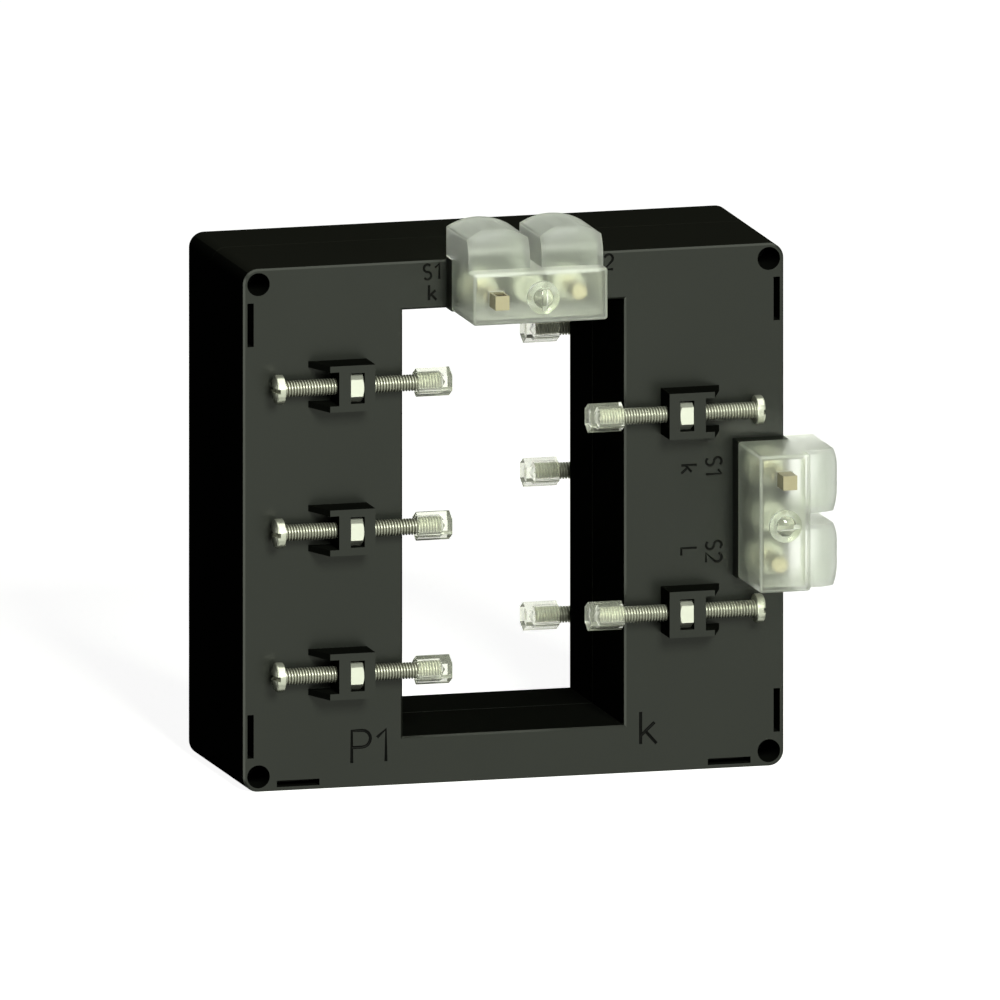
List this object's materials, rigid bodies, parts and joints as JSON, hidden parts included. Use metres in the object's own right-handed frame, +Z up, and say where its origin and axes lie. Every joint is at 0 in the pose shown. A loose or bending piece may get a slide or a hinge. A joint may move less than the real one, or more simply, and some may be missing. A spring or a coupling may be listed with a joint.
{
  "type": "current transformer",
  "caption": "Upright moulded ring around a tall busbar window, with clamp screws on both faces and two clear-covered terminal blocks.",
  "frame": {"origin": "middle of the housing's flat bottom face", "axes": "+X right as seen from the front, -Y out of the front face, +Z up"},
  "size_m": [0.1406, 0.0863, 0.135],
  "materials": {
    "black_housing": "fine-grained black moulding, satin",
    "clear_cover": "clear moulding with a faint green tint",
    "clear_cap": "clear moulding, glossy",
    "nickel_steel": "bright nickel plate",
    "terminal_brass": "bright brass",
    "core_steel": "wound silicon steel strip",
    "bobbin_plastic": "natural nylon",
    "copper_wire": "enamelled copper wire",
    "lead_insulation": "insulated lead"
  },
  "bodies": {
    "housing": {"front_shell": "black_housing", "rear_shell": "black_housing", "core": "core_steel", "left_bobbin": "bobbin_plastic", "left_winding": "copper_wire", "right_bobbin": "bobbin_plastic", "right_winding": "copper_wire", "top_terminal_base": "black_housing", "top_s1_stud": "terminal_brass", "top_s1_washer": "nickel_steel", "top_s1_nut": "nickel_steel", "top_s1_lead": "lead_insulation", "top_s2_stud": "terminal_brass", "top_s2_washer": "nickel_steel", "top_s2_nut": "nickel_steel", "top_s2_lead": "lead_insulation", "top_test_socket": "terminal_brass", "side_terminal_base": "black_housing", "side_s1_stud": "terminal_brass", "side_s1_washer": "nickel_steel", "side_s1_nut": "nickel_steel", "side_s1_lead": "lead_insulation", "side_s2_stud": "terminal_brass", "side_s2_washer": "nickel_steel", "side_s2_nut": "nickel_steel", "side_s2_lead": "lead_insulation", "side_test_socket": "terminal_brass", "front_clamp_nuts": "nickel_steel", "rear_clamp_nuts": "nickel_steel"},
    "front_left_upper_cap": {"front_left_upper_cap": "clear_cap"},
    "front_left_upper_screw": {"front_left_upper_screw": "nickel_steel"},
    "front_left_middle_cap": {"front_left_middle_cap": "clear_cap"},
    "front_left_middle_screw": {"front_left_middle_screw": "nickel_steel"},
    "front_left_lower_cap": {"front_left_lower_cap": "clear_cap"},
    "front_left_lower_screw": {"front_left_lower_screw": "nickel_steel"},
    "front_right_upper_cap": {"front_right_upper_cap": "clear_cap"},
    "front_right_upper_screw": {"front_right_upper_screw": "nickel_steel"},
    "front_right_lower_cap": {"front_right_lower_cap": "clear_cap"},
    "front_right_lower_screw": {"front_right_lower_screw": "nickel_steel"},
    "rear_right_upper_cap": {"rear_right_upper_cap": "clear_cap"},
    "rear_right_upper_screw": {"rear_right_upper_screw": "nickel_steel"},
    "rear_right_middle_cap": {"rear_right_middle_cap": "clear_cap"},
    "rear_right_middle_screw": {"rear_right_middle_screw": "nickel_steel"},
    "rear_right_lower_cap": {"rear_right_lower_cap": "clear_cap"},
    "rear_right_lower_screw": {"rear_right_lower_screw": "nickel_steel"},
    "rear_left_upper_cap": {"rear_left_upper_cap": "clear_cap"},
    "rear_left_upper_screw": {"rear_left_upper_screw": "nickel_steel"},
    "rear_left_lower_cap": {"rear_left_lower_cap": "clear_cap"},
    "rear_left_lower_screw": {"rear_left_lower_screw": "nickel_steel"},
    "top_cover": {"top_terminal_cover": "clear_cover"},
    "top_cover_screw": {"top_cover_screw": "clear_cap"},
    "side_cover": {"side_terminal_cover": "clear_cover"},
    "side_cover_screw": {"side_cover_screw": "clear_cap"}
  },
  "joints": [
    {"name": "front_left_upper_slide", "type": "slide", "parent": "housing", "child": "front_left_upper_cap", "axis": [1, 0, 0], "range_m": [-0.0106, 0.0126]},
    {"name": "front_left_upper_turn", "type": "hinge", "parent": "front_left_upper_cap", "child": "front_left_upper_screw", "pos_m": [-0.05, -0.029, 0.0969], "axis": [1, 0, 0], "range_deg": [-5453.4, 6482]},
    {"name": "front_left_middle_slide", "type": "slide", "parent": "housing", "child": "front_left_middle_cap", "axis": [1, 0, 0], "range_m": [-0.0106, 0.0126]},
    {"name": "front_left_middle_turn", "type": "hinge", "parent": "front_left_middle_cap", "child": "front_left_middle_screw", "pos_m": [-0.05, -0.029, 0.0625], "axis": [1, 0, 0], "range_deg": [-5453.4, 6482]},
    {"name": "front_left_lower_slide", "type": "slide", "parent": "housing", "child": "front_left_lower_cap", "axis": [1, 0, 0], "range_m": [-0.0106, 0.0126]},
    {"name": "front_left_lower_turn", "type": "hinge", "parent": "front_left_lower_cap", "child": "front_left_lower_screw", "pos_m": [-0.05, -0.029, 0.0281], "axis": [1, 0, 0], "range_deg": [-5453.4, 6482]},
    {"name": "front_right_upper_slide", "type": "slide", "parent": "housing", "child": "front_right_upper_cap", "axis": [-1, 0, 0], "range_m": [-0.0106, 0.0126]},
    {"name": "front_right_upper_turn", "type": "hinge", "parent": "front_right_upper_cap", "child": "front_right_upper_screw", "pos_m": [0.05, -0.029, 0.0862], "axis": [-1, 0, 0], "range_deg": [-5453.4, 6482]},
    {"name": "front_right_lower_slide", "type": "slide", "parent": "housing", "child": "front_right_lower_cap", "axis": [-1, 0, 0], "range_m": [-0.0106, 0.0126]},
    {"name": "front_right_lower_turn", "type": "hinge", "parent": "front_right_lower_cap", "child": "front_right_lower_screw", "pos_m": [0.05, -0.029, 0.0388], "axis": [-1, 0, 0], "range_deg": [-5453.4, 6482]},
    {"name": "rear_right_upper_slide", "type": "slide", "parent": "housing", "child": "rear_right_upper_cap", "axis": [-1, 0, 0], "range_m": [-0.0106, 0.0126]},
    {"name": "rear_right_upper_turn", "type": "hinge", "parent": "rear_right_upper_cap", "child": "rear_right_upper_screw", "pos_m": [0.05, 0.029, 0.0969], "axis": [-1, 0, 0], "range_deg": [-5453.4, 6482]},
    {"name": "rear_right_middle_slide", "type": "slide", "parent": "housing", "child": "rear_right_middle_cap", "axis": [-1, 0, 0], "range_m": [-0.0106, 0.0126]},
    {"name": "rear_right_middle_turn", "type": "hinge", "parent": "rear_right_middle_cap", "child": "rear_right_middle_screw", "pos_m": [0.05, 0.029, 0.0625], "axis": [-1, 0, 0], "range_deg": [-5453.4, 6482]},
    {"name": "rear_right_lower_slide", "type": "slide", "parent": "housing", "child": "rear_right_lower_cap", "axis": [-1, 0, 0], "range_m": [-0.0106, 0.0126]},
    {"name": "rear_right_lower_turn", "type": "hinge", "parent": "rear_right_lower_cap", "child": "rear_right_lower_screw", "pos_m": [0.05, 0.029, 0.0281], "axis": [-1, 0, 0], "range_deg": [-5453.4, 6482]},
    {"name": "rear_left_upper_slide", "type": "slide", "parent": "housing", "child": "rear_left_upper_cap", "axis": [1, 0, 0], "range_m": [-0.0106, 0.0126]},
    {"name": "rear_left_upper_turn", "type": "hinge", "parent": "rear_left_upper_cap", "child": "rear_left_upper_screw", "pos_m": [-0.05, 0.029, 0.0862], "axis": [1, 0, 0], "range_deg": [-5453.4, 6482]},
    {"name": "rear_left_lower_slide", "type": "slide", "parent": "housing", "child": "rear_left_lower_cap", "axis": [1, 0, 0], "range_m": [-0.0106, 0.0126]},
    {"name": "rear_left_lower_turn", "type": "hinge", "parent": "rear_left_lower_cap", "child": "rear_left_lower_screw", "pos_m": [-0.05, 0.029, 0.0388], "axis": [1, 0, 0], "range_deg": [-5453.4, 6482]},
    {"name": "top_cover_pull", "type": "slide", "parent": "housing", "child": "top_cover", "axis": [0, -1, 0], "range_m": [0, 0.032]},
    {"name": "top_cover_screw_turn", "type": "hinge", "parent": "top_cover", "child": "top_cover_screw", "pos_m": [0.0005, -0.04465, 0.11965], "axis": [0, -1, 0], "continuous": true},
    {"name": "side_cover_pull", "type": "slide", "parent": "housing", "child": "side_cover", "axis": [0, -1, 0], "range_m": [0, 0.032]},
    {"name": "side_cover_screw_turn", "type": "hinge", "parent": "side_cover", "child": "side_cover_screw", "pos_m": [0.05945, -0.04465, 0.062], "axis": [0, -1, 0], "continuous": true}
  ],
  "couplings": [
    {"joint": "front_left_upper_turn", "follows": "front_left_upper_slide", "rad_per_m": 8976},
    {"joint": "front_left_middle_turn", "follows": "front_left_middle_slide", "rad_per_m": 8976},
    {"joint": "front_left_lower_turn", "follows": "front_left_lower_slide", "rad_per_m": 8976},
    {"joint": "front_right_upper_turn", "follows": "front_right_upper_slide", "rad_per_m": 8976},
    {"joint": "front_right_lower_turn", "follows": "front_right_lower_slide", "rad_per_m": 8976},
    {"joint": "rear_right_upper_turn", "follows": "rear_right_upper_slide", "rad_per_m": 8976},
    {"joint": "rear_right_middle_turn", "follows": "rear_right_middle_slide", "rad_per_m": 8976},
    {"joint": "rear_right_lower_turn", "follows": "rear_right_lower_slide", "rad_per_m": 8976},
    {"joint": "rear_left_upper_turn", "follows": "rear_left_upper_slide", "rad_per_m": 8976},
    {"joint": "rear_left_lower_turn", "follows": "rear_left_lower_slide", "rad_per_m": 8976}
  ]
}
